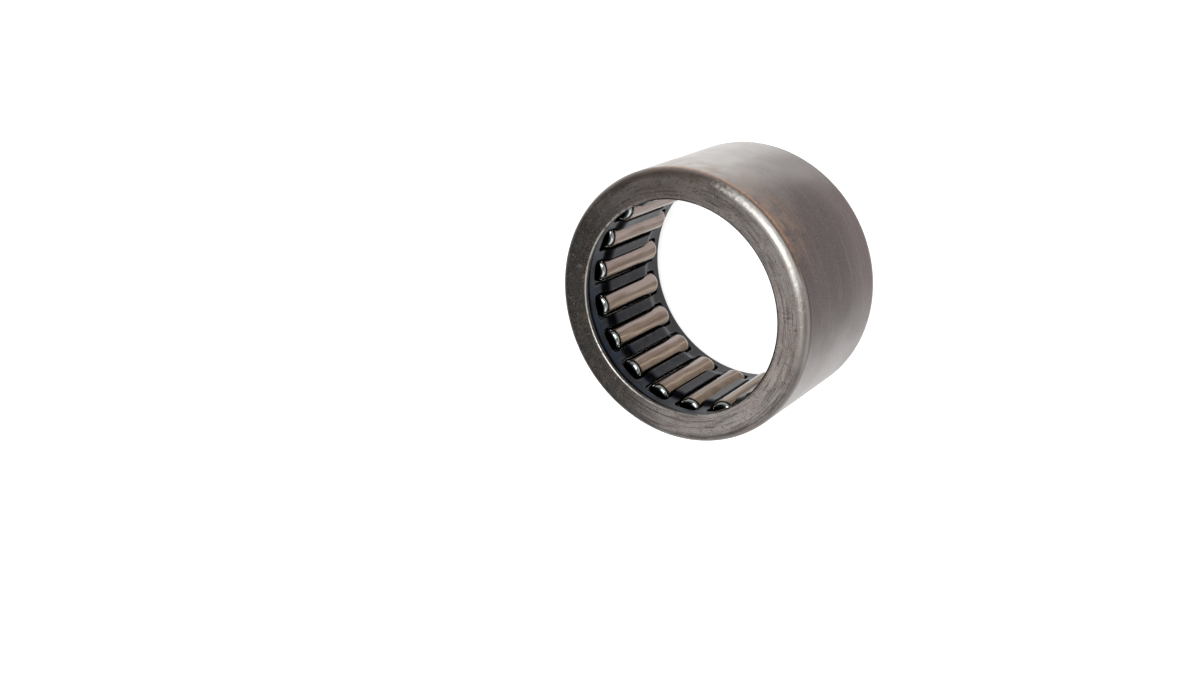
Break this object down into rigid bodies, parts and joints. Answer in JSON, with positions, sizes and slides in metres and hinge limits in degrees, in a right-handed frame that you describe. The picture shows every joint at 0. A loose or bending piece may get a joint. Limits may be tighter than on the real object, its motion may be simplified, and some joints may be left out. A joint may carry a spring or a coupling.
{
  "type": "needle roller bearing",
  "caption": "Drawn-cup caged needle roller bearing, open at both ends: thin hardened cup with inturned lips, bent sheet cage and straight needle rollers.",
  "frame": {"origin": "centre of the lower end face, on the bearing's axis, at the level of the surface that it stands on", "axes": "+Z along the bearing's axis, up; +X through the axis of the first needle"},
  "size_m": [0.0334, 0.0334, 0.0191],
  "materials": {
    "cup_steel": "satin hardened steel, faintly browned, with rub marks",
    "cage_steel": "blue-black treated sheet steel, half gloss",
    "needle_steel": "ground and polished bearing steel, lightly oiled"
  },
  "bodies": {
    "cup": {"outer_cup": "cup_steel"},
    "cage": {"cage": "cage_steel"},
    "needle_01": {"needle_roller_01": "needle_steel"},
    "needle_02": {"needle_roller_02": "needle_steel"},
    "needle_03": {"needle_roller_03": "needle_steel"},
    "needle_04": {"needle_roller_04": "needle_steel"},
    "needle_05": {"needle_roller_05": "needle_steel"},
    "needle_06": {"needle_roller_06": "needle_steel"},
    "needle_07": {"needle_roller_07": "needle_steel"},
    "needle_08": {"needle_roller_08": "needle_steel"},
    "needle_09": {"needle_roller_09": "needle_steel"},
    "needle_10": {"needle_roller_10": "needle_steel"},
    "needle_11": {"needle_roller_11": "needle_steel"},
    "needle_12": {"needle_roller_12": "needle_steel"},
    "needle_13": {"needle_roller_13": "needle_steel"},
    "needle_14": {"needle_roller_14": "needle_steel"},
    "needle_15": {"needle_roller_15": "needle_steel"},
    "needle_16": {"needle_roller_16": "needle_steel"},
    "needle_17": {"needle_roller_17": "needle_steel"},
    "needle_18": {"needle_roller_18": "needle_steel"},
    "needle_19": {"needle_roller_19": "needle_steel"}
  },
  "joints": [
    {"name": "cage_spin", "type": "hinge", "parent": "cup", "child": "cage", "pos_m": [0, 0, 0.00953], "axis": [0, 0, 1], "continuous": true},
    {"name": "needle_01_spin", "type": "hinge", "parent": "cage", "child": "needle_01", "pos_m": [0.01429, 0, 0.00918], "axis": [0, 0, 1], "continuous": true},
    {"name": "needle_02_spin", "type": "hinge", "parent": "cage", "child": "needle_02", "pos_m": [0.01351, 0.00464, 0.00918], "axis": [0, 0, 1], "continuous": true},
    {"name": "needle_03_spin", "type": "hinge", "parent": "cage", "child": "needle_03", "pos_m": [0.01127, 0.00878, 0.00918], "axis": [0, 0, 1], "continuous": true},
    {"name": "needle_04_spin", "type": "hinge", "parent": "cage", "child": "needle_04", "pos_m": [0.00781, 0.01196, 0.00918], "axis": [0, 0, 1], "continuous": true},
    {"name": "needle_05_spin", "type": "hinge", "parent": "cage", "child": "needle_05", "pos_m": [0.00351, 0.01385, 0.00918], "axis": [0, 0, 1], "continuous": true},
    {"name": "needle_06_spin", "type": "hinge", "parent": "cage", "child": "needle_06", "pos_m": [-0.00118, 0.01424, 0.00918], "axis": [0, 0, 1], "continuous": true},
    {"name": "needle_07_spin", "type": "hinge", "parent": "cage", "child": "needle_07", "pos_m": [-0.00574, 0.01308, 0.00918], "axis": [0, 0, 1], "continuous": true},
    {"name": "needle_08_spin", "type": "hinge", "parent": "cage", "child": "needle_08", "pos_m": [-0.00968, 0.01051, 0.00918], "axis": [0, 0, 1], "continuous": true},
    {"name": "needle_09_spin", "type": "hinge", "parent": "cage", "child": "needle_09", "pos_m": [-0.01257, 0.0068, 0.00918], "axis": [0, 0, 1], "continuous": true},
    {"name": "needle_10_spin", "type": "hinge", "parent": "cage", "child": "needle_10", "pos_m": [-0.01409, 0.00235, 0.00918], "axis": [0, 0, 1], "continuous": true},
    {"name": "needle_11_spin", "type": "hinge", "parent": "cage", "child": "needle_11", "pos_m": [-0.01409, -0.00235, 0.00918], "axis": [0, 0, 1], "continuous": true},
    {"name": "needle_12_spin", "type": "hinge", "parent": "cage", "child": "needle_12", "pos_m": [-0.01257, -0.0068, 0.00918], "axis": [0, 0, 1], "continuous": true},
    {"name": "needle_13_spin", "type": "hinge", "parent": "cage", "child": "needle_13", "pos_m": [-0.00968, -0.01051, 0.00918], "axis": [0, 0, 1], "continuous": true},
    {"name": "needle_14_spin", "type": "hinge", "parent": "cage", "child": "needle_14", "pos_m": [-0.00574, -0.01308, 0.00918], "axis": [0, 0, 1], "continuous": true},
    {"name": "needle_15_spin", "type": "hinge", "parent": "cage", "child": "needle_15", "pos_m": [-0.00118, -0.01424, 0.00918], "axis": [0, 0, 1], "continuous": true},
    {"name": "needle_16_spin", "type": "hinge", "parent": "cage", "child": "needle_16", "pos_m": [0.00351, -0.01385, 0.00918], "axis": [0, 0, 1], "continuous": true},
    {"name": "needle_17_spin", "type": "hinge", "parent": "cage", "child": "needle_17", "pos_m": [0.00781, -0.01196, 0.00918], "axis": [0, 0, 1], "continuous": true},
    {"name": "needle_18_spin", "type": "hinge", "parent": "cage", "child": "needle_18", "pos_m": [0.01127, -0.00878, 0.00918], "axis": [0, 0, 1], "continuous": true},
    {"name": "needle_19_spin", "type": "hinge", "parent": "cage", "child": "needle_19", "pos_m": [0.01351, -0.00464, 0.00918], "axis": [0, 0, 1], "continuous": true}
  ],
  "couplings": [
    {"joint": "needle_01_spin", "follows": "cage_spin", "ratio": -10},
    {"joint": "needle_02_spin", "follows": "cage_spin", "ratio": -10},
    {"joint": "needle_03_spin", "follows": "cage_spin", "ratio": -10},
    {"joint": "needle_04_spin", "follows": "cage_spin", "ratio": -10},
    {"joint": "needle_05_spin", "follows": "cage_spin", "ratio": -10},
    {"joint": "needle_06_spin", "follows": "cage_spin", "ratio": -10},
    {"joint": "needle_07_spin", "follows": "cage_spin", "ratio": -10},
    {"joint": "needle_08_spin", "follows": "cage_spin", "ratio": -10},
    {"joint": "needle_09_spin", "follows": "cage_spin", "ratio": -10},
    {"joint": "needle_10_spin", "follows": "cage_spin", "ratio": -10},
    {"joint": "needle_11_spin", "follows": "cage_spin", "ratio": -10},
    {"joint": "needle_12_spin", "follows": "cage_spin", "ratio": -10},
    {"joint": "needle_13_spin", "follows": "cage_spin", "ratio": -10},
    {"joint": "needle_14_spin", "follows": "cage_spin", "ratio": -10},
    {"joint": "needle_15_spin", "follows": "cage_spin", "ratio": -10},
    {"joint": "needle_16_spin", "follows": "cage_spin", "ratio": -10},
    {"joint": "needle_17_spin", "follows": "cage_spin", "ratio": -10},
    {"joint": "needle_18_spin", "follows": "cage_spin", "ratio": -10},
    {"joint": "needle_19_spin", "follows": "cage_spin", "ratio": -10}
  ]
}
